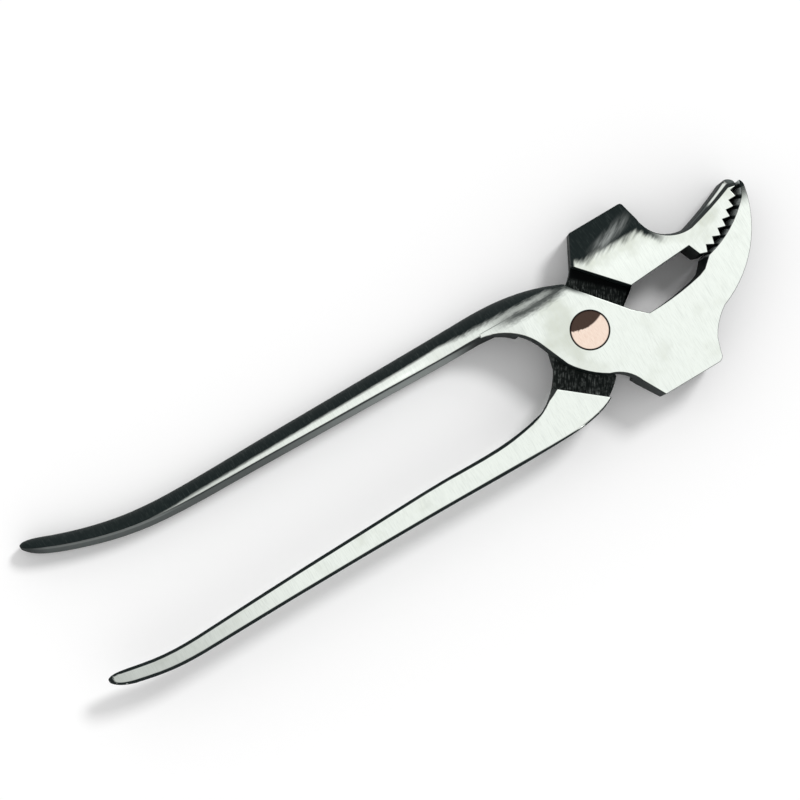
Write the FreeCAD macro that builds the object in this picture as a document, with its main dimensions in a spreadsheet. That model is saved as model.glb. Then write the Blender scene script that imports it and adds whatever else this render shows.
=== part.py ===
import FreeCAD, Part
import math
import os
import Sketcher

# Lasting pliers: two forged steel levers, lapped at half thickness and held by one flush rivet.
# X runs along the tool towards the beak, Y across it, Z up through its thickness.
# The origin is on the rivet's axis, at the level of the back face.
# Each lever is drawn in a frame of its own, with its handle at +Y, its jaw at -Y and its lapped
# plate in the upper half. The back lever is turned half a turn about X afterwards.

SIZES = {
    # Whole tool
    "head_thickness": 16.0,
    "lap_clearance": 0.1,
    # Rivet, ground flush at both ends
    "rivet_head": 10.8,
    "rivet_shank": 8.0,
    "rivet_head_depth": 2.2,
    "rivet_clearance": 0.05,
    # Lapped plate round the rivet
    "plate_cut_reach": 9.05,
    "plate_cut_angle": 40.0,
    "plate_top": 13.4,
    "plate_window_depth": 0.8,
    "plate_radius": 10.9,
    "plate_back_angle": 206.0,
    "plate_low_angle": 229.0,
    "plate_side_length": 13.4,
    "plate_side_rise": 3.9,
    "plate_foot_length": 1.4,
    "plate_foot_depth": 12.8,
    "lap_jaw_reach": 15.0,
    "lap_grip_reach": 17.0,
    "lap_angle": 42.0,
    "lap_turn": 8.4,
    # Neck between plate and handle
    "neck_start": 1.0,
    "neck_length": 26.0,
    "upper_neck_rise": 13.3,
    "lower_neck_rise": 13.9,
    "neck_crest": 1.0,
    "neck_bend_length": 17.9,
    "neck_bend_rise": 9.6,
    "neck_slope_start": 15.0,
    "neck_slope_length": 20.0,
    "neck_step": 0.3,
    "neck_outer_start": 14.4,
    "neck_inner_start": 7.0,
    "neck_edge_start": 11.0,
    # Handle section, shared by both levers
    "grip_root": 34.0,
    "grip_edge": 3.5,
    "grip_chamfer": 1.0,
    "grip_facet": 1.8,
    "grip_height": 10.2,
    # Upper handle, flared outwards at its end
    "upper_grip_length": 161.3,
    "upper_grip_inner": 12.2,
    "upper_grip_spread": 3.6,
    "upper_grip_width": 8.1,
    "upper_grip_end_width": 4.8,
    "upper_grip_end_height": 9.0,
    "upper_flare_start": 118.0,
    "upper_flare": 10.2,
    # Lower handle, thinned to a point
    "lower_grip_length": 159.0,
    "lower_grip_inner": 14.3,
    "lower_grip_spread": 3.0,
    "lower_grip_width": 7.6,
    "lower_grip_end_width": 4.4,
    "lower_grip_end_height": 8.0,
    "lower_flare_start": 132.0,
    "lower_flare": -5.0,
    # Lugs beside the jaws
    "lug_root_length": 5.4,
    "lug_root_depth": 19.0,
    "lug_edge": 11.5,
    "lug_ramp_start": 16.6,
    "lower_lug_reach": 25.4,
    "lower_lug_left": 8.9,
    "lower_lug_right": 27.7,
    "lower_lug_corner": 2.0,
    "upper_lug_reach": 25.5,
    "upper_lug_left": 8.9,
    "upper_lug_right": 26.0,
    "upper_lug_corner": 1.0,
    # Window between the jaws
    "window_start": 16.3,
    "smooth_window_foot": 4.3,
    "smooth_window_length": 33.5,
    "smooth_window_depth": 2.5,
    "smooth_window_bow": 0.5,
    "toothed_window_foot": 4.7,
    "toothed_window_length": 35.1,
    "toothed_window_depth": 5.9,
    # Smooth jaw
    "smooth_throat_length": 29.0,
    "smooth_throat_depth": 19.4,
    "smooth_waist_length": 35.2,
    "smooth_waist_depth": 12.9,
    "smooth_belly_back": 7.6,
    "smooth_belly_drop": 15.4,
    "smooth_nose_length": 0.5,
    "smooth_nose_depth": 2.3,
    "smooth_window_end": 35.6,
    "smooth_window_rise": 1.7,
    # Toothed jaw
    "toothed_throat_length": 27.2,
    "toothed_throat_depth": 16.6,
    "toothed_waist_length": 38.4,
    "toothed_waist_depth": 10.8,
    "toothed_nose_back": 2.0,
    "toothed_nose_rise": 1.5,
    "toothed_nose_depth": 0.6,
    "toothed_heel_length": 36.5,
    "toothed_heel_depth": 2.4,
    # Bevel along the toothed jaw's outer edge
    "bevel_throat_width": 1.8,
    "bevel_waist_width": 1.1,
    "bevel_back_width": 2.4,
    "bevel_depth": 4.5,
    # Teeth along the arc of the bite, and the gap between the closed jaws
    "bite_radius": 30.1,
    "bite_centre_length": 30.5,
    "bite_centre_depth": 30.7,
    "bite_gap": 0.35,
    "bite_lead_angle": 0.5,
    "bite_tip_angle": 3.0,
    "tooth_start_angle": 15.6,
    "tooth_pitch_angle": 5.57,
    "tooth_depth": 1.7,
    "tooth_count": 7,
}

# Shares and powers that shape the curves
ARC_SHARE = math.sqrt(0.5)
LUG_ROOT_BOW = 0.62
SMOOTH_THROAT_BOW = 0.44
TOOTHED_THROAT_BOW = 0.3
TOOTHED_TIP_BOW = 0.7
NOSE_BOW = 0.25
BEAK_BOW = 0.53
BEVEL_LEAN = 0.4
BEVEL_RUNOUT = 3.0
TOOTH_RAKE = 0.45
NECK_SHARES = (0.0, 0.17, 0.34, 0.54, 0.74)
NECK_CHAMFER_EASE = 0.8
NECK_INNER_POWERS = {"upper": 3, "lower": 1.3}
NECK_OUTER_POWERS = {"upper": 3, "lower": 5}
SPREAD_POWERS = {"upper": 1, "lower": 2}
GRIP_SHARES = (0.0, 0.15, 0.32, 0.5, 0.66, 0.76, 0.84, 0.9, 0.95)
CAP_SHARES = (0.5, 0.8, 0.97)

# Cuts start outside the solid by this margin, and the lap's cut is wider than the head
CUT_MARGIN = 5.0
LAP_HALF_WIDTH = 40.0


class Size:
    """A number together with the sheet expression that gives it."""

    def __init__(self, value, text):
        self.value = value
        self.text = text

    def join(self, sign, other, value):
        return Size(value, "(%s %s %s)" % (self.text, sign, other.text))

    def __add__(self, other):
        other = as_size(other)
        return self.join("+", other, self.value + other.value)

    def __radd__(self, other):
        return as_size(other) + self

    def __sub__(self, other):
        other = as_size(other)
        return self.join("-", other, self.value - other.value)

    def __rsub__(self, other):
        return as_size(other) - self

    def __mul__(self, other):
        other = as_size(other)
        return self.join("*", other, self.value * other.value)

    def __rmul__(self, other):
        return as_size(other) * self

    def __truediv__(self, other):
        other = as_size(other)
        return self.join("/", other, self.value / other.value)

    def __neg__(self):
        return as_size(0) - self


def as_size(number):
    if isinstance(number, Size):
        return number
    return Size(float(number), "%.6f" % number)


def sine(angle):
    return Size(math.sin(math.radians(angle.value)), "sin(%s)" % angle.text)


def cosine(angle):
    return Size(math.cos(math.radians(angle.value)), "cos(%s)" % angle.text)


class Via:
    """A point that an arc passes through, between the outline's points before and after it."""

    def __init__(self, x, y):
        self.x = x
        self.y = y


doc = FreeCAD.newDocument("LastingPliers")
sheet = doc.addObject("Spreadsheet::Sheet", "Sizes")
for row, (alias, number) in enumerate(SIZES.items(), start=1):
    sheet.set("A%d" % row, alias)
    sheet.set("B%d" % row, str(number))
    sheet.setAlias("B%d" % row, alias)
doc.recompute()


def size(alias):
    return Size(float(sheet.get(alias)), "Sizes.%s" % alias)


def vector(point):
    return FreeCAD.Vector(as_size(point[0]).value, as_size(point[1]).value, 0)


def new_body(label):
    body = doc.addObject("PartDesign::Body", label)
    body.Label = label
    return body


def origin_plane(body, role):
    for plane in body.Origin.OriginFeatures:
        if plane.Role == role:
            return plane
    raise LookupError(role)


def pin_point(sketch, index, position, point):
    """Ties a point of the sketch to the sheet, by its two distances from the sketch's origin."""
    for kind, distance in (("DistanceX", point[0]), ("DistanceY", point[1])):
        distance = as_size(distance)
        number = sketch.addConstraint(
            Sketcher.Constraint(kind, -1, 1, index, position, distance.value)
        )
        sketch.setExpression("Constraints[%d]" % number, distance.text)


def new_sketch(body, name, role, outline, offset=None):
    """A closed outline of lines, and of arcs where a Via stands between two of its points."""
    sketch = body.newObject("Sketcher::SketchObject", name)
    sketch.AttachmentSupport = [(origin_plane(body, role), "")]
    sketch.MapMode = "FlatFace"
    if offset is not None:
        sketch.AttachmentOffset = FreeCAD.Placement(
            FreeCAD.Vector(0, 0, offset.value), FreeCAD.Rotation()
        )
        sketch.setExpression("AttachmentOffset.Base.z", offset.text)
    corners = [point for point in outline if not isinstance(point, Via)]
    ends = []
    number = 0
    for place, point in enumerate(outline):
        if isinstance(point, Via):
            continue
        following = corners[(number + 1) % len(corners)]
        after = outline[(place + 1) % len(outline)]
        first = vector(point)
        if isinstance(after, Via):
            middle = (after.x, after.y)
            through = vector(middle)
            last = vector(following)
            turns_left = (through - first).cross(last - through).z > 0
            arc = Part.Arc(first, through, last) if turns_left else Part.Arc(last, through, first)
            index = sketch.addGeometry(arc)
            ends.append((index, 1, 2) if turns_left else (index, 2, 1))
            mark = sketch.addGeometry(Part.Point(vector(middle)), True)
            pin_point(sketch, mark, 1, middle)
            sketch.addConstraint(Sketcher.Constraint("PointOnObject", mark, 1, index))
        else:
            index = sketch.addGeometry(Part.LineSegment(first, vector(following)))
            ends.append((index, 1, 2))
        number = number + 1
    for number, (index, start, end) in enumerate(ends):
        after_index, after_start, after_end = ends[(number + 1) % len(ends)]
        sketch.addConstraint(Sketcher.Constraint("Coincident", index, end, after_index, after_start))
        pin_point(sketch, index, start, corners[number])
    return sketch


def new_pad(body, name, sketch, length):
    pad = body.newObject("PartDesign::Pad", name)
    pad.Profile = sketch
    pad.Length = length.value
    pad.setExpression("Length", length.text)
    return pad


def new_cut_through(body, name, sketch):
    """Cuts the sketch's outline out of the whole body, to both sides of the sketch."""
    pocket = body.newObject("PartDesign::Pocket", name)
    pocket.Profile = sketch
    pocket.Type = 1
    pocket.Midplane = True
    return pocket


def new_turned(body, kind, name, sketch):
    """A solid or a bore of revolution about the rivet's axis."""
    turned = body.newObject(kind, name)
    turned.Profile = sketch
    turned.ReferenceAxis = (sketch, ["V_Axis"])
    turned.Angle = 360
    return turned


def plate_cut_corner(y):
    """The point of the plate's straight cut that lies at the height y."""
    angle = size("plate_cut_angle")
    x = (size("plate_cut_reach") - y * sine(angle)) / cosine(angle)
    return (x, y)


def polar(radius, angle):
    return (radius * cosine(angle), radius * sine(angle))


def bow(start, end, share):
    """A point for an arc that leaves the straight line between two points by the share chosen."""
    return Via(
        start[0] + (end[0] - start[0]) * share,
        start[1] + (end[1] - start[1]) * (1 - share),
    )


def plate_outline(side):
    """The edge of neck and plate, from the top of the straight cut round to the lug's root."""
    foot = (-size("plate_foot_length"), -size("plate_foot_depth"))
    lug_root = (size("lug_root_length"), -size("lug_root_depth"))
    radius = size("plate_radius")
    return [
        plate_cut_corner(size("plate_top")),
        (-size("neck_length"), size(side + "_neck_rise") + size("neck_crest")),
        (-size("neck_length"), size(side + "_neck_rise")),
        Via(-size("neck_bend_length"), size("neck_bend_rise")),
        (-size("plate_side_length"), size("plate_side_rise")),
        polar(radius, size("plate_back_angle")),
        Via(*polar(radius, size("plate_low_angle"))),
        foot,
        bow(foot, lug_root, LUG_ROOT_BOW),
        lug_root,
    ]


def lug_outline(side):
    """The hammer lug: a straight face parallel to the tool, with one rounded corner."""
    reach = size(side + "_lug_reach")
    right = size(side + "_lug_right")
    corner = size(side + "_lug_corner")
    return [
        (size(side + "_lug_left"), -reach),
        (right - corner, -reach),
        Via(right - corner * (1 - ARC_SHARE), -reach + corner * (1 - ARC_SHARE)),
        (right, -reach + corner),
    ]


def bite_point(radius, angle, way):
    """A point about the centre of the bite's arc, its angle taken from the line across the tool."""
    return (
        size("bite_centre_length") + radius * sine(angle),
        (size("bite_centre_depth") - radius * cosine(angle)) * way,
    )


def last_tooth_angle():
    count = round(size("tooth_count").value)
    return size("tooth_start_angle") + size("tooth_pitch_angle") * count


def smooth_jaw_outline():
    """The lower jaw: a broad curved beak whose inner edge closes on the teeth."""
    throat = (size("smooth_throat_length"), -size("smooth_throat_depth"))
    waist = (size("smooth_waist_length"), -size("smooth_waist_depth"))
    edge = size("bite_radius") + size("bite_gap")
    lead = size("tooth_start_angle") - size("bite_lead_angle")
    end = last_tooth_angle() + size("bite_tip_angle")
    tip = bite_point(edge, end, 1)
    nose = (tip[0] + size("smooth_nose_length"), tip[1] - size("smooth_nose_depth"))
    window_end = (size("smooth_window_length"), -size("smooth_window_depth"))
    window_foot = (size("window_start"), -size("smooth_window_foot"))
    window_middle = Via(
        (window_end[0] + window_foot[0]) / 2,
        (window_end[1] + window_foot[1]) / 2 - size("smooth_window_bow"),
    )
    return [
        throat,
        bow(throat, waist, SMOOTH_THROAT_BOW),
        waist,
        Via(nose[0] - size("smooth_belly_back"), nose[1] - size("smooth_belly_drop")),
        nose,
        bow(nose, tip, NOSE_BOW),
        tip,
        Via(*bite_point(edge, (lead + end) / 2, 1)),
        bite_point(edge, lead, 1),
        (size("smooth_window_end"), -size("smooth_window_rise")),
        window_end,
        window_middle,
        window_foot,
        plate_cut_corner(-size("plate_window_depth")),
    ]


def teeth_outline():
    """Raked teeth along the bite's arc, from the beak's tip back to the heel."""
    crest = size("bite_radius")
    root = crest - size("tooth_depth")
    start = size("tooth_start_angle")
    pitch = size("tooth_pitch_angle")
    count = round(size("tooth_count").value)
    points = [bite_point(crest, last_tooth_angle(), -1)]
    for tooth in reversed(range(count)):
        points.append(bite_point(root, start + pitch * (tooth + TOOTH_RAKE), -1))
        points.append(bite_point(crest, start + pitch * tooth, -1))
    return points


def toothed_back_points():
    """The toothed jaw's outer edge, from the lug's throat to the end of the beak."""
    throat = (size("toothed_throat_length"), -size("toothed_throat_depth"))
    waist = (size("toothed_waist_length"), -size("toothed_waist_depth"))
    radius = size("bite_radius") - size("toothed_nose_depth")
    tip = bite_point(radius, last_tooth_angle() + size("bite_tip_angle"), -1)
    back = (tip[0] - size("toothed_nose_back"), tip[1] - size("toothed_nose_rise"))
    return throat, waist, back, tip


def toothed_jaw_outline():
    """The upper jaw: a slimmer beak with a toothed inner edge behind a square heel."""
    throat, waist, back, tip = toothed_back_points()
    return [
        throat,
        bow(throat, waist, TOOTHED_THROAT_BOW),
        waist,
        bow(waist, back, BEAK_BOW),
        back,
        bow(back, tip, TOOTHED_TIP_BOW),
        tip,
        *teeth_outline(),
        (size("toothed_heel_length"), -size("toothed_heel_depth")),
        (size("toothed_window_length"), -size("toothed_window_depth")),
        (size("window_start"), -size("toothed_window_foot")),
        plate_cut_corner(-size("plate_window_depth")),
    ]


def grip_section(inner, outer, height, edge, chamfer, scale=1.0):
    """The handle's section: chamfered flat back, outer wall, dome up to a ridge, inner facet."""
    ridge = inner + size("grip_facet")
    points = [
        (inner + chamfer, as_size(0)),
        (outer - chamfer, as_size(0)),
        (outer, chamfer),
        (outer, edge),
        (ridge + (outer - ridge) * ARC_SHARE, edge + (height - edge) * ARC_SHARE),
        (ridge, height),
        (inner, chamfer),
    ]
    centre = ((inner + outer) / 2, height / 2)
    if scale < 1:
        points = [
            tuple(middle + (part - middle) * scale for part, middle in zip(point, centre))
            for point in points
        ]
    points[4] = Via(*points[4])
    return points


def neck_height(place):
    """The front of the neck at a place along the tool: level, then sloping down to the handle."""
    thickness = size("head_thickness") - size("neck_step")
    start = -size("neck_slope_start")
    if place.value >= start.value:
        return thickness
    fall = (thickness - size("grip_height")) / size("neck_slope_length")
    return thickness - (start - place) * fall


def grip_sections(side):
    """Pairs of a place along the tool and the section there, from the neck to the handle's end."""
    root = size("grip_root")
    length = size(side + "_grip_length")
    root_inner = size(side + "_grip_inner")
    root_width = size(side + "_grip_width")
    root_outer = root_inner + root_width
    sections = []
    for share in NECK_SHARES:
        rest = 1 - share
        inner = root_inner - (root_inner - size("neck_inner_start")) * rest ** NECK_INNER_POWERS[side]
        outer = root_outer - (root_outer - size("neck_outer_start")) * rest ** NECK_OUTER_POWERS[side]
        edge = size("grip_edge") + (size("neck_edge_start") - size("grip_edge")) * rest ** 2
        place = size("neck_start") * rest - root * share
        chamfer = size("grip_chamfer") * (1 - NECK_CHAMFER_EASE * rest)
        sections.append((place, grip_section(inner, outer, neck_height(place), edge, chamfer)))
    cap_start = GRIP_SHARES[-1]
    shares = [(share, 1.0) for share in GRIP_SHARES]
    for cap in CAP_SHARES:
        shares.append((cap_start + (1 - cap_start) * cap, math.sqrt(1 - cap ** 2)))
    for share, scale in shares:
        place = root + (length - root) * share
        flare_start = size(side + "_flare_start")
        inner = root_inner + size(side + "_grip_spread") * share ** SPREAD_POWERS[side]
        if place.value > flare_start.value:
            flare = (place - flare_start) / (length - flare_start)
            inner = inner + size(side + "_flare") * flare * flare
        width = root_width + (size(side + "_grip_end_width") - root_width) * share
        height = size("grip_height") + (size(side + "_grip_end_height") - size("grip_height")) * share
        edge = size("grip_edge")
        chamfer = size("grip_chamfer")
        sections.append((-place, grip_section(inner, inner + width, height, edge, chamfer, scale)))
    return sections


def add_loft(body, name, sketches):
    loft = body.newObject("PartDesign::AdditiveLoft", name)
    loft.Profile = sketches[0]
    loft.Sections = sketches[1:]
    return loft


def add_grip(body, side):
    sketches = [
        new_sketch(body, "%s_grip_section_%d" % (side, number), "YZ_Plane", section, place)
        for number, (place, section) in enumerate(grip_sections(side), start=1)
    ]
    cap = len(CAP_SHARES) + 1
    add_loft(body, side + "_grip", sketches[: 1 - cap])
    add_loft(body, side + "_grip_end", sketches[-cap:])


def cut_neck_slope(body):
    """Slopes the plate's front down to the handle along the neck."""
    start = -size("neck_slope_start")
    end = start - size("neck_slope_length")
    thickness = size("head_thickness")
    outline = [
        (start, thickness),
        (end, size("grip_height")),
        (end, thickness + CUT_MARGIN),
        (start, thickness + CUT_MARGIN),
    ]
    sketch = new_sketch(body, body.Label + "_neck_slope_line", "XZ_Plane", outline)
    return new_cut_through(body, body.Label + "_neck_slope", sketch)


def cut_lap(body):
    """Clears the lower half of the head between the two shoulders, where the other plate turns."""
    angle = size("lap_angle")
    back_angle = 180 - angle - size("lap_turn")
    jaw = size("lap_jaw_reach")
    grip = size("lap_grip_reach")
    wide = as_size(LAP_HALF_WIDTH)
    outline = [
        (jaw * cosine(angle) + wide * sine(angle), wide * cosine(angle) - jaw * sine(angle)),
        (
            grip * cosine(back_angle) + wide * sine(back_angle),
            grip * sine(back_angle) - wide * cosine(back_angle),
        ),
        (
            grip * cosine(back_angle) - wide * sine(back_angle),
            grip * sine(back_angle) + wide * cosine(back_angle),
        ),
        (jaw * cosine(angle) - wide * sine(angle), -wide * cosine(angle) - jaw * sine(angle)),
    ]
    depth = (size("head_thickness") + size("lap_clearance")) / 2
    sketch = new_sketch(body, body.Label + "_lap_outline", "XY_Plane", outline, depth)
    pocket = body.newObject("PartDesign::Pocket", body.Label + "_lap")
    pocket.Profile = sketch
    pocket.Length = (depth + CUT_MARGIN).value
    pocket.setExpression("Length", (depth + CUT_MARGIN).text)
    return pocket


def cut_lug_ramp(body, side):
    """Ramps the lug's back up to the thinner edge of its face."""
    start = -size("lug_ramp_start")
    face = -size(side + "_lug_reach")
    rise = size("head_thickness") - size("lug_edge")
    slope = rise / (start - face)
    outline = [
        (start + CUT_MARGIN, -slope * CUT_MARGIN),
        (face - CUT_MARGIN, rise + slope * CUT_MARGIN),
        (face - CUT_MARGIN, -slope * CUT_MARGIN),
    ]
    sketch = new_sketch(body, body.Label + "_lug_line", "YZ_Plane", outline)
    return new_cut_through(body, body.Label + "_lug_ramp", sketch)


def bevel_outline(share):
    """Everything outside the beak's outer edge, drawn in by a share of the bevel's width."""
    throat, waist, back, tip = toothed_back_points()
    throat_shift = size("bevel_throat_width") * share
    waist_shift = size("bevel_waist_width") * share
    back_shift = size("bevel_back_width") * share
    start = (throat[0] - BEVEL_LEAN, throat[1] - BEVEL_RUNOUT + throat_shift)
    hollow = (waist[0], waist[1] + waist_shift)
    shoulder = (back[0] - back_shift * BEVEL_LEAN, back[1] + back_shift)
    end = (tip[0] + BEVEL_RUNOUT, tip[1] + back_shift)
    far = waist[1] - LAP_HALF_WIDTH
    return [
        (start[0], far),
        (end[0], far),
        end,
        shoulder,
        bow(shoulder, hollow, 1 - BEAK_BOW),
        hollow,
        bow(hollow, start, 1 - TOOTHED_THROAT_BOW),
        start,
    ]


def cut_beak_bevel(body):
    """Bevels the toothed jaw's outer edge, on the side that shows as the tool's front."""
    levels = ((as_size(0), 1), (size("bevel_depth") * 2, -1))
    sketches = [
        new_sketch(body, "beak_bevel_outline_%d" % number, "XY_Plane", bevel_outline(share), level)
        for number, (level, share) in enumerate(levels, start=1)
    ]
    loft = body.newObject("PartDesign::SubtractiveLoft", "beak_bevel")
    loft.Profile = sketches[0]
    loft.Sections = sketches[1:]
    loft.Ruled = True
    return loft


def cut_bore(body, clearance):
    """The rivet's bore, widened to a cone at the outer face."""
    shank = size("rivet_shank") / 2 + clearance
    head = size("rivet_head") / 2 + clearance
    thickness = size("head_thickness")
    outline = [
        (as_size(0), as_size(-CUT_MARGIN)),
        (shank, as_size(-CUT_MARGIN)),
        (shank, thickness - size("rivet_head_depth")),
        (head, thickness),
        (head, thickness + CUT_MARGIN),
        (as_size(0), thickness + CUT_MARGIN),
    ]
    sketch = new_sketch(body, body.Label + "_bore_line", "XZ_Plane", outline)
    return new_turned(body, "PartDesign::Groove", body.Label + "_bore", sketch)


def new_lever(label, side, lug_side, jaw_outline, bore_clearance):
    body = new_body(label)
    outline = plate_outline(side) + lug_outline(lug_side) + jaw_outline
    new_pad(
        body,
        label + "_head",
        new_sketch(body, label + "_head_outline", "XY_Plane", outline),
        size("head_thickness"),
    )
    cut_neck_slope(body)
    add_grip(body, side)
    cut_lap(body)
    cut_lug_ramp(body, lug_side)
    cut_bore(body, bore_clearance)
    return body


def new_front_lever():
    """The lever whose plate is on top: upper handle, lower smooth jaw."""
    return new_lever("front_lever", "upper", "lower", smooth_jaw_outline(), as_size(0))


def new_back_lever():
    """The lever whose plate is beneath: lower handle, upper toothed jaw."""
    clearance = size("rivet_clearance")
    body = new_lever("back_lever", "lower", "upper", toothed_jaw_outline(), clearance)
    cut_beak_bevel(body)
    thickness = size("head_thickness")
    half_turn = FreeCAD.Rotation(FreeCAD.Vector(1, 0, 0), 180)
    body.Placement = FreeCAD.Placement(FreeCAD.Vector(0, 0, thickness.value), half_turn)
    body.setExpression("Placement.Base.z", thickness.text)
    return body


def new_pivot_rivet():
    """A steel rivet with a cone head at each end, ground flush with both outer faces."""
    body = new_body("pivot_rivet")
    shank = size("rivet_shank") / 2
    head = size("rivet_head") / 2
    thickness = size("head_thickness")
    cone = size("rivet_head_depth")
    outline = [
        (as_size(0), as_size(0)),
        (head, as_size(0)),
        (shank, cone),
        (shank, thickness - cone),
        (head, thickness),
        (as_size(0), thickness),
    ]
    sketch = new_sketch(body, "pivot_rivet_line", "XZ_Plane", outline)
    new_turned(body, "PartDesign::Revolution", "pivot_rivet_turned", sketch)
    return body


def check_document(pieces):
    for item in doc.Objects:
        if "Invalid" in item.State or "Error" in item.State:
            raise RuntimeError("%s: %s" % (item.Name, item.State))
    for piece in pieces:
        if piece.Shape.isNull() or not piece.Shape.isValid():
            raise RuntimeError(piece.Label)


pieces = [new_front_lever(), new_back_lever(), new_pivot_rivet()]
doc.recompute()
check_document(pieces)
os.makedirs("parts", exist_ok=True)
for piece in pieces:
    piece.Shape.exportStep("parts/%s.step" % piece.Label)
    box = piece.Shape.BoundBox
    print(
        "%s: %d solid, %.0f mm3, X %.1f to %.1f, Y %.1f to %.1f, Z %.1f to %.1f"
        % (
            piece.Label, len(piece.Shape.Solids), piece.Shape.Volume,
            box.XMin, box.XMax, box.YMin, box.YMax, box.ZMin, box.ZMax,
        )
    )
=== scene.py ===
import math

import bmesh
import bpy
from mathutils import Matrix, Vector


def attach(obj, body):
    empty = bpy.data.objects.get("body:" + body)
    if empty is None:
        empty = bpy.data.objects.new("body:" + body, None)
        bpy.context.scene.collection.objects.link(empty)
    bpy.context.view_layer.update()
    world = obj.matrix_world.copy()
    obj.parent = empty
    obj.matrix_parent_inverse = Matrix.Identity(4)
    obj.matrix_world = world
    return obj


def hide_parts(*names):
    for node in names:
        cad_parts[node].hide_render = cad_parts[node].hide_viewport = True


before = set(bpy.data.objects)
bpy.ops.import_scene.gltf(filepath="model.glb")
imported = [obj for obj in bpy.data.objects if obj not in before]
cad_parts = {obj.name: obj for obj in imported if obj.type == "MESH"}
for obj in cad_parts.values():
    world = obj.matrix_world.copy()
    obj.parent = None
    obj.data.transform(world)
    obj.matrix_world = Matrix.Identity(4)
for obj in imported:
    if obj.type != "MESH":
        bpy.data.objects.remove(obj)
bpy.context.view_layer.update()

# Lasting pliers on a pale bench. Metres; X runs along the tool towards the beak, Y across it,
# Z up through its thickness, with the rivet's axis at the origin and the back face on the bench.
MM = 0.001

# Camera: almost square to the tool, leaning a little towards the handles
PHOTO_WIDTH = 800
FOCAL_PIXELS = 3328.2
CAMERA_DISTANCE = 0.9
CAMERA_LEAN = Vector((-0.0968, -0.0182, 1.0))
CAMERA_REACH = 10
TOOL_TURN = math.radians(30.8)
AIM = Vector((-0.053103, 0.010162, 0.008))

# Light
SKY_LIGHT = 0.72
KEY_STRENGTH = 1.25
KEY_SOFTNESS = math.radians(14)
KEY_TOWARDS = Vector((0.8, 0.3, 1.0))

# Bench
BENCH_SIZE = 3.0
BENCH_DROP = 0.1 * MM
BENCH_ROUGHNESS = 0.9

# Edges of the pieces: those sharper than EDGE_ANGLE are rounded, faces within FLAT_ANGLE are one
EDGE_ANGLE = math.radians(29)
FLAT_ANGLE = math.radians(0.25)
EDGE_ROUND = 0.22 * MM
RIVET_ROUND = 0.12 * MM
MERGE = 0.002 * MM

# From here on, places on the levers are in millimetres and turns in degrees. A pair gives where a
# finish begins and where it is full: two places or, for a facing, two shares of looking that way.
FRONT_FACE = 16.0
FRONT_RIM = (15.93, 15.99)
LAP_FACE = 8.0
LAP_REACH = 0.5
LEVEL = (0.93, 0.985)

# Smooth jaw's bite: its wall runs on a circle past the teeth, and leans back above their middle
BITE_CENTRE = Vector((30.5, 30.7, 0.0))
BITE_EDGE = 30.45
BITE_SLACK = 0.05
BITE_START = 14.9
BITE_END = 57.4
BITE_TIP_EASE = 6.0
BITE_LEAN_HEEL = 0.4
BITE_LEAN_TIP = 0.95
BITE_LEAN_FOOT = 12.2
BITE_LEAN_TOP = 15.9
BITE_FIRST_TOOTH = 16.6
BITE_PITCH = 5.45
BITE_HEEL = (14.0, 15.0)
BITE_INNER = (29.6, 29.9)
BITE_OUTER = (32.4, 32.1)
BITE_UPRIGHT = (0.5, 0.3)
# Painted reflections of the teeth on the wall: where in each tooth's pitch they come in and go, with
# painted shadow, black, between.
TOOTH_REFLECTION_IN = (0.08, 0.3)
TOOTH_REFLECTION_OUT = (0.86, 0.7)

# Front lever's handle: a bright band along it, whose edge dips in places, and an end bent outwards;
# beyond the edge, painted shade where the dome turns away from the light
FLARE_START = -118.0
FLARE_LENGTH = 43.3
FLARE_RISE = 10.2
NECK = (-40.0, -26.0)
NECK_END = -28.0
BAND_EDGE = 17.1
BAND_FALL = 0.055
BAND_DIPS = (
    (0.85, (-38.0, -28.0)), (1.4, (-5.0, 0.0)), (0.6, (-112.0, -135.0)), (0.25, (-32.0, -50.0)),
)
BAND_FACING = (0.3, 0.55)
HANDLE_END = (2.0, 0.0)
HANDLE_SIDE = (5.9, 6.1)
HANDLE_ALONE = (-7.0, -9.0)
GRIP_DULL = 0.55
GRIP_DULLS = (-70.0, -150.0)

# Front lever's neck: the step down from the plate, and painted shade in the crease where the handle's
# dome meets the plate
STEP_TOP = (11.0, 12.0)
STEP_START = (-8.0, -14.0)
STEP_SIDE = (12.4, 12.8)
CREASE_MIDDLE = -9.0
CREASE_LOW = 13.2
CREASE_BEND = 0.0075
CREASE_REACH = 2.7
CREASE_START = (-25.0, -15.0)
CREASE_END = (3.0, -3.0)

# Front lever's inner side: a grey facet at its foot and a silver ridge towards the end
INNER_START = (-26.0, -36.0)
INNER_FACING = (0.80, 0.95)
FACET_TOP = (8.4, 7.0)
FACET_FOOT = (0.5, 1.8)
FACET_PALES = (-100.0, -45.0)
RIDGE_START = (-112.0, -130.0)
RIDGE_FOOT = (5.8, 7.2)

# Front lever's plate and jaw: the painted shade of a dark rim along the plate's cut, the tip and the
# rivet's bore
PLATE_CUT = 9.05
PLATE_CUT_X = 0.766
PLATE_CUT_Y = 0.643
RIM_WIDTH = (1.5, 0.1)
RIM_START = (7.0, 12.0)
RIM_FACING = (0.5, 0.8)
TIP_SIDE = (11.9, 12.5)
TIP_START = (50.0, 52.0)
BORE_RIM = 5.52

# Back lever's lug: painted shade, where its face slopes away from the light, above a brushed edge,
# with a painted gleam across it
LUG_BEND = 6.0
LUG_BEND_SPAN = (24.0, 30.0)
LUG_DIP = 2.2
LUG_DIP_SPAN = (9.0, 4.0)
LUG_EDGE = (15.0, 18.0)
LUG_BEAK_END = (33.0, 27.0)
LUG_FOOT = (10.0, 10.5)
GLEAM_SLOPE = 0.29
GLEAM_LOW = 14.0
GLEAM_REACH = 2.6
GLEAM_START = (9.0, 15.0)
GLEAM_END = (27.0, 20.0)
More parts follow.
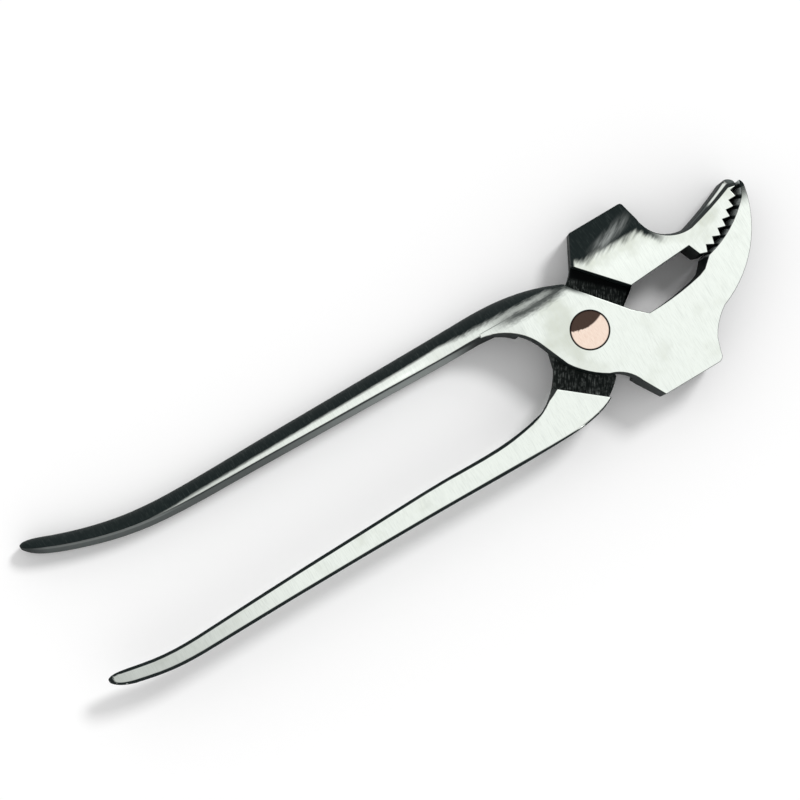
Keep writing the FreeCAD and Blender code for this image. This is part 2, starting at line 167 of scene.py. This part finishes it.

# Back lever's beak: painted reflections on its bevel, grey outside and at the end, and a painted shine
# between
BEVEL_FACING = (0.12, 0.2)
BEVEL_STEEP = (0.85, 0.7)
BEVEL_START = (34.0, 38.0)
BEVEL_SIDE = (7.0, 8.5)
BEVEL_GREY_TOP = (13.6, 13.0)
BEVEL_GREY_STOP = (47.5, 45.0)
SHINE_TOP = (14.1, 13.7)
SHINE_FOOT = (11.35, 11.6)
SHINE_START = (45.0, 47.0)
SHINE_STOP = (53.6, 52.6)
BEVEL_END = (53.0, 54.2)
BEVEL_END_TOP = (14.6, 13.4)

# Back lever's handle and lap face
GRIP_START = (-10.0, -18.0)
GRIP_CROWN = (0.72, 0.88)
# The back handle's bright part grows darker towards its end: by this share, between these places.
GRIP_DIMMING = 0.35
GRIP_DIMS = (-95.0, -150.0)
LAP_SHOULDER = 15.1
LAP_SHOULDER_X = 0.688
LAP_SHOULDER_Y = 0.726
# Painted shade on the lap face: how near the shoulder it turns black, and from where across the tool.
LAP_SHADE = (-2.4, -1.2)
LAP_SHADE_SIDE = (0.0, 2.0)

# Back lever's forging draft, and its handle's shoulder, set back where it meets the lap
DRAFT = 1.4
DRAFT_LUG_FOOT = 12.0
DRAFT_LUG_END = 9.5
DRAFT_THROAT_X = (-27.0, -9.0)
DRAFT_THROAT_Y = (-14.2, -3.5)
SHOULDER_TURN = Vector((0.745, 0.667, 0.0))
SHOULDER_ALONG = Vector((0.667, -0.745, 0.0))
SHOULDER_REACH = 17.0
SHOULDER_RUN = 4.6
SHOULDER_CUT = 1.3
SHOULDER_SLACK = 0.1
SHOULDER_TOP = 15.5
SHOULDER_SIDE = -17.0
SHOULDER_END = -9.0

# Rivet: the boundary of its darkened part is a shallow arc, ragged on the handles' side
TARNISH_LOW = 0.9
TARNISH_BEND = 0.055
TARNISH_RAGGED = 1.6
TARNISH_SIDE = (2.0, -3.0)
TARNISH_EDGE = (-0.2, 0.3)
SEAM = (4.95, 5.2)

# Patterns: their sizes, and the values between which each comes in. The cloud beside the rivet has a
# place and a reach along each axis.
FINE_SHOWS = (0.42, 0.75)
FINE_SHARE = 0.75
WIDE_SHOWS = (0.5, 0.75)
WIDE_SHARE = 0.4
FORGED_AND_SHADE_SHOWS = (0.5, 0.85)
FRONT_CLOUD_SCALE = 0.12
FRONT_CLOUD_SHOWS = (0.5, 0.95)
RIVET_CLOUD = 0.35
RIVET_CLOUD_X = (-7.0, 12.0)
RIVET_CLOUD_Y = (3.0, 16.0)
BACK_CLOUD_SCALE = 0.16
BACK_CLOUD_SHOWS = (0.5, 1.0)
# The lug's clouds thicken towards its painted shade, as a soft edge to it.
LUG_CLOUD = 0.3
LUG_CLOUD_RISE = (9.0, 17.0)
LUG_RAGGED = 3.5
LUG_WAVE = 1.6
GLEAM_SHOWS = (-0.25, 0.25)
BITE_SCRATCH_SHOWS = (0.38, 0.6)
BITE_SCRATCH_LEAST = 0.35
LAP_SCRATCH_SHOWS = (0.45, 0.65)
LAP_MOTTLE_SCALE = 1.1
LAP_MOTTLE_SHOWS = (0.35, 0.65)
COPPER_SHOWS = (0.35, 0.75)
TARNISH_SCALE = 1.3

# Tones, as the light of the studio shows them
BRIGHT = (0.80, 0.845, 0.795, 1.0)
BRIGHT_CLOUD = (0.60, 0.635, 0.56, 1.0)
BRIGHT_STROKE = (0.64, 0.68, 0.64, 1.0)
DARK = (0.010, 0.015, 0.015, 1.0)
DARK_STROKE = (0.05, 0.06, 0.057, 1.0)
SILVER = (0.30, 0.32, 0.31, 1.0)
FACET = (0.085, 0.10, 0.097, 1.0)
FACET_ROOT = (0.30, 0.33, 0.32, 1.0)
# Painted reflection of the teeth on the smooth jaw's wall
BITE_TOOTH_REFLECTION = (0.62, 0.68, 0.66, 1.0)
LAP = (0.012, 0.016, 0.015, 1.0)
LAP_STROKE = (0.19, 0.21, 0.20, 1.0)
# Painted shade on the lap face along the jaw's shoulder
BLACK = (0.002, 0.003, 0.003, 1.0)
COPPER = (0.84, 0.70, 0.60, 1.0)
COPPER_STROKE = (0.72, 0.55, 0.45, 1.0)
TARNISH = (0.045, 0.028, 0.021, 1.0)
TARNISH_STROKE = (0.075, 0.05, 0.04, 1.0)
SEAM_DARK = (0.02, 0.012, 0.01, 1.0)
BENCH_WHITE = (1.0, 1.0, 1.0, 1.0)

# Gloss: how rough and how metallic a surface is, and the depth of the strokes in it
DARK_ROUGHNESS = 0.45
STROKE_ROUGHNESS = 0.12
BRIGHT_POLISH = 0.21
DARK_METAL = 0.06
BRIGHT_METAL = 0.84
STEEL_STROKE_DEPTH = 0.008 * MM
COPPER_ROUGHNESS = 0.28
COPPER_STROKE_ROUGHNESS = 0.1
COPPER_METAL = 0.9
COPPER_STROKE_DEPTH = 0.006 * MM
BARE_GLOSS = 0.04


class Sum:
    """An output of a material's node, on which sums are written as they are in arithmetic."""

    def __init__(self, shop, socket):
        self.shop = shop
        self.socket = socket

    def math(self, operation, *others):
        values = dict(enumerate((self, *others)))
        return self.shop.node("ShaderNodeMath", {"operation": operation}, values).out(0)

    def __add__(self, other):
        return self.math("ADD", other)

    def __radd__(self, other):
        return self.math("ADD", other)

    def __sub__(self, other):
        return self.math("SUBTRACT", other)

    def __rsub__(self, other):
        return self.math("MULTIPLY_ADD", -1.0, other)

    def __mul__(self, other):
        return self.math("MULTIPLY", other)

    def __rmul__(self, other):
        return self.math("MULTIPLY", other)

    def __abs__(self):
        return self.math("ABSOLUTE")

    def most(self, other):
        return self.math("MAXIMUM", other)

    def step(self, low, high):
        """Rises smoothly from nothing at low to one at high; falls where low is the greater."""
        values = {"Value": self, "From Min": low, "From Max": high}
        settings = {"interpolation_type": "SMOOTHSTEP"}
        return self.shop.node("ShaderNodeMapRange", settings, values).out(0)

    def near(self, place, reach):
        """One at the place, falling to nothing at the reach on either side."""
        return abs(self - place).step(reach, 0.0)


class Placed:
    """A node of a material, with its outputs at hand."""

    def __init__(self, shop, node):
        self.shop = shop
        self.node = node

    def out(self, name):
        return Sum(self.shop, self.node.outputs[name])


class Shop:
    """Builds one material from nodes."""

    def __init__(self, name):
        self.material = bpy.data.materials.new(name)
        self.material.use_nodes = True
        self.tree = self.material.node_tree
        self.tree.nodes.clear()
        places = self.node("ShaderNodeTexCoord")
        values = {0: places.out("Object"), "Scale": 1 / MM}
        self.grid = self.node("ShaderNodeVectorMath", {"operation": "SCALE"}, values).out(0)
        self.x, self.y, self.z = self.parts(self.grid)
        _, self.side, self.up = self.parts(places.out("Normal"))

    def node(self, kind, settings=None, values=None):
        """Adds a node: first its settings, then the values or links of its sockets."""
        node = self.tree.nodes.new(kind)
        for name, setting in (settings or {}).items():
            setattr(node, name, setting)
        for name, value in (values or {}).items():
            if isinstance(value, Sum):
                self.tree.links.new(value.socket, node.inputs[name])
            else:
                node.inputs[name].default_value = value
        return Placed(self, node)

    def parts(self, vector):
        split = self.node("ShaderNodeSeparateXYZ", values={0: vector})
        return split.out("X"), split.out("Y"), split.out("Z")

    def stretched(self, turn, scale):
        """The places of the pattern, turned about Z and scaled along each axis."""
        values = {"Vector": self.grid, "Rotation": (0.0, 0.0, turn), "Scale": scale}
        return self.node("ShaderNodeMapping", {"vector_type": "TEXTURE"}, values).out(0)

    def noise(self, places, scale=1.0, detail=3.0):
        values = {"Vector": places, "Scale": scale, "Detail": detail, "Roughness": 0.55}
        return self.node("ShaderNodeTexNoise", values=values).out("Fac")

    def blend(self, share, low, high):
        """A colour between two, each a colour or a colour socket, by the colour sockets' numbers."""
        factor, first, second, result = 0, 6, 7, 2
        values = {factor: share, first: low, second: high}
        return self.node("ShaderNodeMix", {"data_type": "RGBA"}, values).out(result)

    def finish(self, tone, roughness, metallic, height=None, depth=0.0):
        """The surface: colour, gloss and, where a height is given, fine relief."""
        values = {"Base Color": tone, "Roughness": roughness, "Metallic": metallic}
        values["Specular IOR Level"] = BARE_GLOSS
        if height is not None:
            bump = {"Height": height, "Distance": depth, "Strength": 1.0}
            values["Normal"] = self.node("ShaderNodeBump", values=bump).out(0)
        surface = self.node("ShaderNodeBsdfPrincipled", values=values)
        self.node("ShaderNodeOutputMaterial", values={"Surface": surface.out(0)})
        return self.material


def strokes(shop, width=0.16, length=2.8, turn=0.0):
    """Fine strokes that the belt left across the tool, about one half on average."""
    places = shop.stretched(turn, (width, length, length))
    return shop.noise(places, detail=4.0)


def ground_tone(shop, fine, clouds):
    """Steel ground bright: clouded in broad patches, brushed in fine strokes and a few wide ones."""
    wide = strokes(shop, width=0.7, length=7.0)
    tone = shop.blend(clouds, BRIGHT, BRIGHT_CLOUD)
    tone = shop.blend(fine.step(*FINE_SHOWS) * FINE_SHARE, tone, BRIGHT_STROKE)
    return shop.blend(wide.step(*WIDE_SHOWS) * WIDE_SHARE, tone, BRIGHT_STROKE)


def forged_and_shade_tone(shop, fine):
    """Dark steel, with paler strokes here and there: black from the forge on the sides, and painted
    shade where ground faces turn away from the light.
    """
    return shop.blend(fine.step(*FORGED_AND_SHADE_SHOWS), DARK, DARK_STROKE)


def ground_flat(shop):
    """One on the flat faces, front and back, and on the front face's rounded edge."""
    return abs(shop.up).step(*LEVEL).most(shop.z.step(*FRONT_RIM))


def finish_steel(shop, tone, fine, bright):
    """Steel mirrors the studio where it is ground bright and hardly at all where it is dark."""
    roughness = DARK_ROUGHNESS + STROKE_ROUGHNESS * fine - BRIGHT_POLISH * bright
    metallic = DARK_METAL + BRIGHT_METAL * bright
    return shop.finish(tone, roughness, metallic, fine, STEEL_STROKE_DEPTH)


def band_edge(shop):
    """How far across the tool the upper handle's bright band reaches."""
    flare = (FLARE_START - shop.x).most(0.0) * (1 / FLARE_LENGTH)
    edge = BAND_EDGE + flare * flare * FLARE_RISE
    edge = edge - BAND_FALL * (shop.x.most(NECK_END) - NECK_END)
    for depth, span in BAND_DIPS:
        edge = edge - depth * shop.x.step(*span)
    return edge


def handle_band(shop):
    """The upper handle's bright band, with painted shade beyond its ragged edge and the painted shade
    of the crease in it on the neck.
    """
    neck = shop.x.step(*NECK)
    ragged = (strokes(shop, width=2.0, length=0.5) - 0.5) * (0.5 + 1.2 * neck)
    past_edge = shop.y - band_edge(shop) + ragged
    # Painted shade: the dark beyond the band's edge, where the dome turns away from the light.
    shade = past_edge.step(-0.45 - 0.75 * neck, 0.5 + 0.5 * neck)
    # Painted shade in the crease where the dome meets the plate: a dark streak along the neck.
    run = shop.x - CREASE_MIDDLE
    past_crease = shop.y - (CREASE_LOW + CREASE_BEND * run * run) + 1.2 * ragged
    crease_shade = past_crease.near(0.0, CREASE_REACH)
    crease_shade = crease_shade * shop.x.step(*CREASE_START) * shop.x.step(*CREASE_END)
    on_step = shop.z.step(*STEP_TOP) * shop.x.step(*STEP_START) * shop.y.step(*STEP_SIDE)
    facing = shop.up.step(*BAND_FACING).most(on_step)
    return (1.0 - shade) * (1.0 - 0.9 * crease_shade) * facing


def front_head(shop):
    """The ground faces of the front lever's plate and jaw, without the tip and the bore."""
    tip = shop.y.step(*TIP_SIDE) * shop.x.step(*TIP_START)
    bore = (shop.x * shop.x + shop.y * shop.y).step(BORE_RIM ** 2 + 1.0, BORE_RIM ** 2)
    return ground_flat(shop) * (1.0 - tip) * (1.0 - bore)


def plate_rim(shop):
    """Painted shade: a dark rim along the cut of the front lever's plate."""
    past_cut = PLATE_CUT - PLATE_CUT_X * shop.x - PLATE_CUT_Y * shop.y
    return past_cut.step(*RIM_WIDTH) * shop.y.step(*RIM_START) * shop.up.step(*RIM_FACING)


def inner_facets(shop, tone, dulling):
    """The upper handle's inner side: a grey facet at its foot, a silver ridge near its end."""
    inner = shop.x.step(*INNER_START) * (-1.0 * shop.side).step(*INNER_FACING)
    facet = inner * shop.z.step(*FACET_TOP) * shop.z.step(*FACET_FOOT)
    ridge = inner * shop.x.step(*RIDGE_START) * shop.z.step(*RIDGE_FOOT) * (1.0 - dulling)
    grey = shop.blend(shop.x.step(*FACET_PALES), FACET, FACET_ROOT)
    return shop.blend(ridge, shop.blend(facet, tone, grey), SILVER)


def bite_tooth_reflections(shop):
    """Painted reflections of the teeth, grey and scratched, on the smooth jaw's wall, one beside each
    tooth, with painted shadow, black, between.
    """
    away = shop.x - BITE_CENTRE.x
    down = BITE_CENTRE.y - shop.y
    angle = away.math("ARCTAN2", down) * math.degrees(1.0)
    phase = ((angle - BITE_FIRST_TOOTH) * (1 / BITE_PITCH)).math("FRACT")
    span = phase.step(*TOOTH_REFLECTION_IN) * phase.step(*TOOTH_REFLECTION_OUT)
    reach = away * away + down * down
    wall = abs(shop.up).step(*BITE_UPRIGHT)
    for low, high in (BITE_INNER, BITE_OUTER):
        wall = wall * reach.step(low ** 2, high ** 2)
    scratch = strokes(shop, width=1.6, length=0.18, turn=math.radians(-12))
    scratch = BITE_SCRATCH_LEAST + scratch.step(*BITE_SCRATCH_SHOWS)
    return wall * span * scratch * angle.step(*BITE_HEEL)


def front_steel():
    """The front lever: ground plate and jaw, handle with painted shade outside, bright within, grey
    beneath, and painted reflections of the teeth on the jaw's wall.
    """
    shop = Shop("front_steel")
    fine = strokes(shop)
    dulling = GRIP_DULL * shop.x.step(*GRIP_DULLS)
    beside_plate = shop.y.step(*HANDLE_SIDE).most(shop.x.step(*HANDLE_ALONE))
    on_handle = shop.x.step(*HANDLE_END) * beside_plate
    below = (-1.0 * shop.up).step(*LEVEL)
    # The handle's band, with its painted shade outside and in the crease.
    handle = handle_band(shop) * (1.0 - dulling) + below
    bright = on_handle * handle + (1.0 - on_handle) * front_head(shop)
    # Painted shade along the plate's cut.
    bright = bright * (1.0 - 0.9 * plate_rim(shop))
    # Dark: the forge's black, and painted shade on the handle's outer side.
    dark = inner_facets(shop, forged_and_shade_tone(shop, fine), dulling)
    # Painted reflections of the teeth, with painted shadow between, on the smooth jaw's wall.
    dark = shop.blend(bite_tooth_reflections(shop), dark, BITE_TOOTH_REFLECTION)
    broad = shop.noise(shop.grid, FRONT_CLOUD_SCALE)
    beside_rivet = shop.x.near(*RIVET_CLOUD_X) * shop.y.near(*RIVET_CLOUD_Y)
    clouds = (broad + RIVET_CLOUD * beside_rivet).step(*FRONT_CLOUD_SHOWS)
    tone = shop.blend(bright, dark, ground_tone(shop, fine, clouds))
    return finish_steel(shop, tone, fine, bright)


def beak_bevel(shop):
    """Where the beak's bevel takes its painted reflections: grey, and a painted shine."""
    bevel = shop.up.step(*BEVEL_FACING) * abs(shop.up).step(*BEVEL_STEEP)
    bevel = bevel * shop.x.step(*BEVEL_START) * shop.y.step(*BEVEL_SIDE)
    outer = bevel * shop.z.step(*BEVEL_GREY_TOP) * shop.x.step(*BEVEL_GREY_STOP)
    end = bevel * shop.x.step(*BEVEL_END) * shop.z.step(*BEVEL_END_TOP)
    shine = bevel * shop.z.step(*SHINE_TOP) * shop.z.step(*SHINE_FOOT)
    shine = shine * shop.x.step(*SHINE_START) * shop.x.step(*SHINE_STOP)
    return outer.most(end), shine


def lug_gleam(shop, lug_shade, brushed):
    """A painted silver gleam, a highlight that runs across the lug's painted shade."""
    gleam = (shop.y - GLEAM_SLOPE * shop.x - GLEAM_LOW).near(0.0, GLEAM_REACH)
    gleam = gleam * shop.x.step(*GLEAM_START) * shop.x.step(*GLEAM_END)
    return gleam * lug_shade * brushed.step(*GLEAM_SHOWS)


def lap_tone(shop):
    """The lap face: scratched dark grey, with painted shade, black, along the jaw's shoulder."""
    scratch = strokes(shop, width=0.22, length=2.2, turn=math.radians(-35))
    mottle = shop.noise(shop.grid, LAP_MOTTLE_SCALE).step(*LAP_MOTTLE_SHOWS)
    tone = shop.blend(scratch.step(*LAP_SCRATCH_SHOWS) * mottle, LAP, LAP_STROKE)
    past_shoulder = LAP_SHOULDER_X * shop.x + LAP_SHOULDER_Y * shop.y - LAP_SHOULDER
    # Painted shade: black along the jaw's shoulder.
    shoulder_shade = past_shoulder.step(*LAP_SHADE) * shop.y.step(*LAP_SHADE_SIDE)
    return shop.blend(shoulder_shade, tone, BLACK)


def back_steel():
    """The back lever: painted shade on the lug, bevelled beak with painted reflections, dark lap face
    with painted shade along the shoulder, and ground handle.
    """
    shop = Shop("back_steel")
    fine = strokes(shop)
    broad = shop.noise(shop.grid, BACK_CLOUD_SCALE)
    brushed = strokes(shop, width=0.8, length=7.0, turn=math.radians(-60)) - 0.5
    bend = shop.x.step(*LUG_BEND_SPAN) * LUG_BEND - shop.x.step(*LUG_DIP_SPAN) * LUG_DIP
    rise = shop.y + bend + LUG_WAVE * (broad - 0.5) + LUG_RAGGED * brushed
    # Painted shade on the lug's face where it slopes away from the light; its edge is ragged with
    # brushed strokes.
    lug_shade = rise.step(*LUG_EDGE) * shop.x.step(*LUG_BEAK_END) * shop.z.step(*LUG_FOOT)
    gleam = lug_gleam(shop, lug_shade, brushed)
    grey, shine = beak_bevel(shop)
    lap = shop.z.near(LAP_FACE, LAP_REACH)
    on_grip = shop.x.step(*GRIP_START)
    bright = on_grip * abs(shop.up).step(*GRIP_CROWN) + (1.0 - on_grip) * ground_flat(shop)
    bright = bright * (1.0 - lap) * (1.0 - lug_shade) * (1.0 - GRIP_DIMMING * shop.x.step(*GRIP_DIMS))
    # Towards the lug the clouds thicken: a painted soft edge to its shade.
    clouds = (broad + LUG_CLOUD * rise.step(*LUG_CLOUD_RISE)).step(*BACK_CLOUD_SHOWS)
    # Dark: the forge's black, and painted shade on the lug and the bevel.
    tone = shop.blend(bright, forged_and_shade_tone(shop, fine), ground_tone(shop, fine, clouds))
    tone = shop.blend(gleam, tone, SILVER)
    # Painted reflections on the beak's bevel: grey outside and at the end, a shine between.
    tone = shop.blend(grey, tone, FACET)
    tone = shop.blend(shine, tone, BRIGHT)
    tone = shop.blend(lap, tone, lap_tone(shop))
    return finish_steel(shop, tone, fine, bright.most(shine).most(0.5 * gleam))


def rivet_copper():
    """Copper, ground flush with the plate, with the part towards the upper handle darkened."""
    shop = Shop("rivet_copper")
    fine = strokes(shop, width=0.12, length=1.6)
    flat = shop.node("ShaderNodeCombineXYZ", values={"X": shop.x, "Y": shop.y, "Z": 0.0}).out(0)
    reach = shop.node("ShaderNodeVectorMath", {"operation": "LENGTH"}, {0: flat}).out("Value")
    ragged = (shop.noise(shop.grid, TARNISH_SCALE) - 0.5) * TARNISH_RAGGED * shop.x.step(*TARNISH_SIDE)
    past_edge = shop.y - TARNISH_BEND * shop.x * shop.x - TARNISH_LOW + ragged
    pale = shop.blend(fine.step(*COPPER_SHOWS), COPPER, COPPER_STROKE)
    brown = shop.blend(fine, TARNISH, TARNISH_STROKE)
    tone = shop.blend(past_edge.step(*TARNISH_EDGE), pale, brown)
    tone = shop.blend(reach.step(*SEAM), tone, SEAM_DARK)
    roughness = COPPER_ROUGHNESS + COPPER_STROKE_ROUGHNESS * fine
    return shop.finish(tone, roughness, COPPER_METAL, fine, COPPER_STROKE_DEPTH)


def bite_reach(vertex):
    """The way from the bite's centre to a point, seen from the front."""
    return Vector((vertex.co.x, vertex.co.y, 0.0)) - BITE_CENTRE * MM


def bite_share(vertex):
    """How far along the bite a point of its wall lies, or nothing where it is off the wall."""
    reach = bite_reach(vertex)
    if abs(reach.length - BITE_EDGE * MM) > BITE_SLACK * MM:
        return None
    angle = math.degrees(math.atan2(reach.x, -reach.y))
    share = (angle - BITE_START) / (BITE_END - BITE_START)
    return share if 0 < share < 1 else None


def open_bite(form):
    """Bevels the smooth jaw's wall above the teeth's middle, more and more towards its tip."""
    wall = [face for face in form.faces if any(bite_share(vertex) for vertex in face.verts)]
    wall = [face for face in wall if abs(face.normal.z) < 0.5]
    edges = [edge for edge in form.edges if any(face in wall for face in edge.link_faces)]
    corners = [vertex for vertex in form.verts if any(face in wall for face in vertex.link_faces)]
    bmesh.ops.bisect_plane(
        form, geom=corners + edges + wall, dist=MERGE / 2,
        plane_co=(0.0, 0.0, BITE_LEAN_FOOT * MM), plane_no=(0.0, 0.0, 1.0),
    )
    for vertex in form.verts:
        share = bite_share(vertex)
        if share and vertex.co.z > BITE_LEAN_TOP * MM:
            ease = min(1.0, (1.0 - share) * BITE_TIP_EASE)
            lean = (BITE_LEAN_HEEL + BITE_LEAN_TIP * share) * ease * MM
            vertex.co += bite_reach(vertex).normalized() * lean


def draw_in_foot(form):
    """Forging draft: the lug and the throat narrow towards the back face."""
    for vertex in form.verts:
        x, y, z = vertex.co / MM
        on_lug = y > DRAFT_LUG_FOOT and x < DRAFT_LUG_END
        in_throat = (
            DRAFT_THROAT_X[0] < x < DRAFT_THROAT_X[1] and DRAFT_THROAT_Y[0] < y < DRAFT_THROAT_Y[1]
        )
        if on_lug or in_throat:
            vertex.co.x += DRAFT * (FRONT_FACE - z) / FRONT_FACE * MM


def set_back_shoulder(form):
    """Sets the corner of the handle's shoulder back from the lap, less and less down the throat."""
    for vertex in form.verts:
        x, y, z = vertex.co / MM
        run = -SHOULDER_TURN.dot(vertex.co) / MM - SHOULDER_REACH
        beside = x < SHOULDER_END and y > SHOULDER_SIDE and z > SHOULDER_TOP
        if beside and -SHOULDER_SLACK < run < SHOULDER_RUN:
            cut = SHOULDER_CUT * (1 - max(run, 0.0) / SHOULDER_RUN) * MM
            vertex.co += SHOULDER_ALONG * cut


def shape_back(form):
    draw_in_foot(form)
    set_back_shoulder(form)


def round_edges(form, width):
    """Rounds the sharp edges, and keeps what the rounding adds between the two faces."""
    sharp = [edge for edge in form.edges if edge.is_manifold and edge.calc_face_angle() > EDGE_ANGLE]
    bmesh.ops.bevel(
        form, geom=sharp, offset=width, offset_type="OFFSET", segments=2, profile=0.5,
        affect="EDGES", clamp_overlap=False, material=-1,
    )
    for vertex in form.verts:
        vertex.co.z = min(max(vertex.co.z, 0.0), FRONT_FACE * MM)


def shaped_mesh(node, width, material, reshape):
    """A copy of a node's mesh: merged, reshaped where asked, and rounded along its edges."""
    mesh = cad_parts[node].data.copy()
    mesh.attributes.remove(mesh.attributes["custom_normal"])
    form = bmesh.new()
    form.from_mesh(mesh)
    bmesh.ops.remove_doubles(form, verts=form.verts, dist=MERGE)
    bmesh.ops.dissolve_limit(form, angle_limit=FLAT_ANGLE, verts=form.verts, edges=form.edges)
    if reshape:
        reshape(form)
    round_edges(form, width)
    for face in form.faces:
        face.smooth = True
    form.to_mesh(mesh)
    form.free()
    mesh.materials.clear()
    mesh.materials.append(material)
    return mesh


def rounded_copy(node, name, body, width, material, reshape=None):
    """A copy of a node with its sharp edges rounded, which stands for the node."""
    piece = bpy.data.objects.new(name, shaped_mesh(node, width, material, reshape))
    bpy.context.scene.collection.objects.link(piece)
    even = piece.modifiers.new("even_shading", "WEIGHTED_NORMAL")
    even.keep_sharp = True
    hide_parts(node)
    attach(piece, body)


def add_camera():
    back = CAMERA_LEAN.normalized()
    along = Vector((1.0, 0.0, 0.0))
    along = (along - back * along.dot(back)).normalized()
    level = back.cross(along)
    right = along * math.cos(TOOL_TURN) - level * math.sin(TOOL_TURN)
    up = along * math.sin(TOOL_TURN) + level * math.cos(TOOL_TURN)
    camera = bpy.data.objects.new("camera", bpy.data.cameras.new("camera"))
    bpy.context.scene.collection.objects.link(camera)
    turn = Matrix((right, up, back)).transposed().to_4x4()
    camera.matrix_world = Matrix.Translation(AIM + back * CAMERA_DISTANCE) @ turn
    camera.data.sensor_fit = "HORIZONTAL"
    camera.data.angle = 2 * math.atan(PHOTO_WIDTH / 2 / FOCAL_PIXELS)
    camera.data.clip_end = CAMERA_REACH
    bpy.context.scene.camera = camera


def add_sky():
    """An even sky, white where it is seen or mirrored."""
    world = bpy.data.worlds.new("studio")
    bpy.context.scene.world = world
    world.use_nodes = True
    tree = world.node_tree
    sky = tree.nodes["Background"]
    path = tree.nodes.new("ShaderNodeLightPath")
    seen = path.outputs["Is Camera Ray"]
    for other in ("Is Glossy Ray", "Is Transmission Ray"):
        either = tree.nodes.new("ShaderNodeMath")
        either.operation = "MAXIMUM"
        tree.links.new(seen, either.inputs[0])
        tree.links.new(path.outputs[other], either.inputs[1])
        seen = either.outputs[0]
    strength = tree.nodes.new("ShaderNodeMapRange")
    strength.inputs["To Min"].default_value = SKY_LIGHT
    strength.inputs["To Max"].default_value = 1.0
    tree.links.new(seen, strength.inputs["Value"])
    tree.links.new(strength.outputs[0], sky.inputs["Strength"])
    sky.inputs["Color"].default_value = (1.0, 1.0, 1.0, 1.0)


def add_key():
    """One soft key light."""
    key = bpy.data.objects.new("key", bpy.data.lights.new("key", "SUN"))
    key.data.energy = KEY_STRENGTH
    key.data.angle = KEY_SOFTNESS
    key.rotation_mode = "QUATERNION"
    key.rotation_quaternion = KEY_TOWARDS.to_track_quat("Z", "Y")
    bpy.context.scene.collection.objects.link(key)


def add_bench():
    form = bmesh.new()
    bmesh.ops.create_grid(form, x_segments=1, y_segments=1, size=BENCH_SIZE / 2)
    bmesh.ops.translate(form, verts=form.verts, vec=(0.0, 0.0, -BENCH_DROP))
    mesh = bpy.data.meshes.new("bench")
    form.to_mesh(mesh)
    form.free()
    mesh.materials.append(Shop("bench_white").finish(BENCH_WHITE, BENCH_ROUGHNESS, 0.0))
    bench = bpy.data.objects.new("bench", mesh)
    bpy.context.scene.collection.objects.link(bench)


add_camera()
add_sky()
add_key()
add_bench()
rounded_copy("front_lever", "front_forging", "front", EDGE_ROUND, front_steel(), open_bite)
rounded_copy("back_lever", "back_forging", "back", EDGE_ROUND, back_steel(), shape_back)
rounded_copy("pivot_rivet", "rivet", "front", RIVET_ROUND, rivet_copper())

bpy.context.scene.view_settings.view_transform = "Standard"
